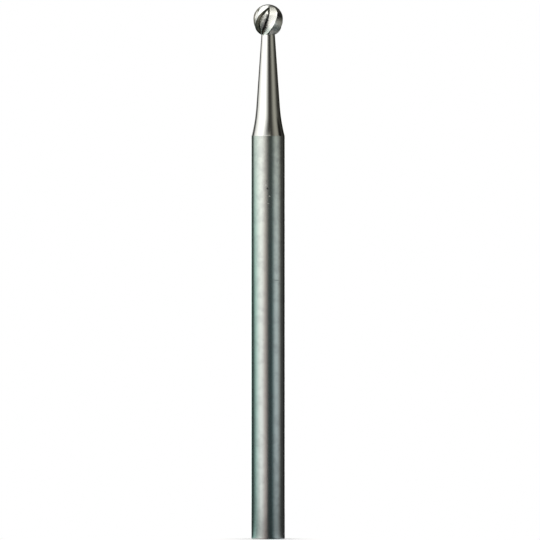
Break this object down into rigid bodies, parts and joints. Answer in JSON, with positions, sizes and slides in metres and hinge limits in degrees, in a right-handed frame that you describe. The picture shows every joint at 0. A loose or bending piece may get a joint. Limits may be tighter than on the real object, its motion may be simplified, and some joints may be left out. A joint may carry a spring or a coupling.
{
  "type": "engraving cutter",
  "caption": "One-piece steel engraving cutter: a straight round shank narrows through a tapered neck to a small ball head with spiral cutting flutes.",
  "frame": {"origin": "centre of the shank's flat end face", "axes": "+Z along the axis from the shank's end to the tip of the ball head; -Y faces the picture's camera"},
  "size_m": [0.0024, 0.0024, 0.0381],
  "materials": {
    "steel": "ground tool steel, satin on the shank and bright on the neck and head"
  },
  "bodies": {
    "root": {"engraving_cutter": "steel"}
  },
  "joints": []
}
